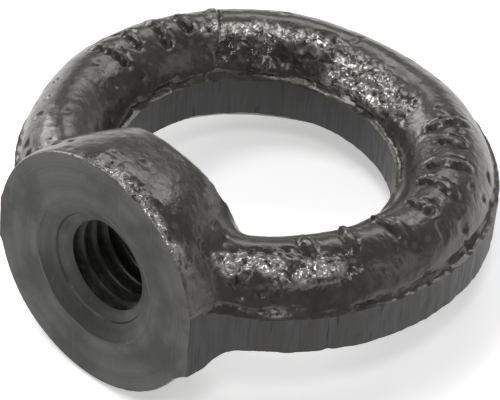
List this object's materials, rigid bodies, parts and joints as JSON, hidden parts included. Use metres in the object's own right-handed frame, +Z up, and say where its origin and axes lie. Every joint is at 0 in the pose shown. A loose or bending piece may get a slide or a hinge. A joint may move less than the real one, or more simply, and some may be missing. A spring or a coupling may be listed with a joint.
{
  "type": "lifting eye nut",
  "caption": "One-piece forged lifting eye nut: a closed ring on a round boss with a flat seat face and a countersunk, tapped through bore.",
  "frame": {"origin": "on the bench that the nut lies on, under the middle of its bounding box", "axes": "+Z up; the thread's axis lies in the YZ plane with the seat face towards -Y and tipped 8.9 degrees upwards, because the nut rests on the rim of its seat face and on the far end of its ring; X runs across the ring"},
  "size_m": [0.054, 0.0548, 0.0285],
  "materials": {
    "black_steel": "satin"
  },
  "bodies": {
    "root": {"eye_nut": "black_steel"}
  },
  "joints": []
}
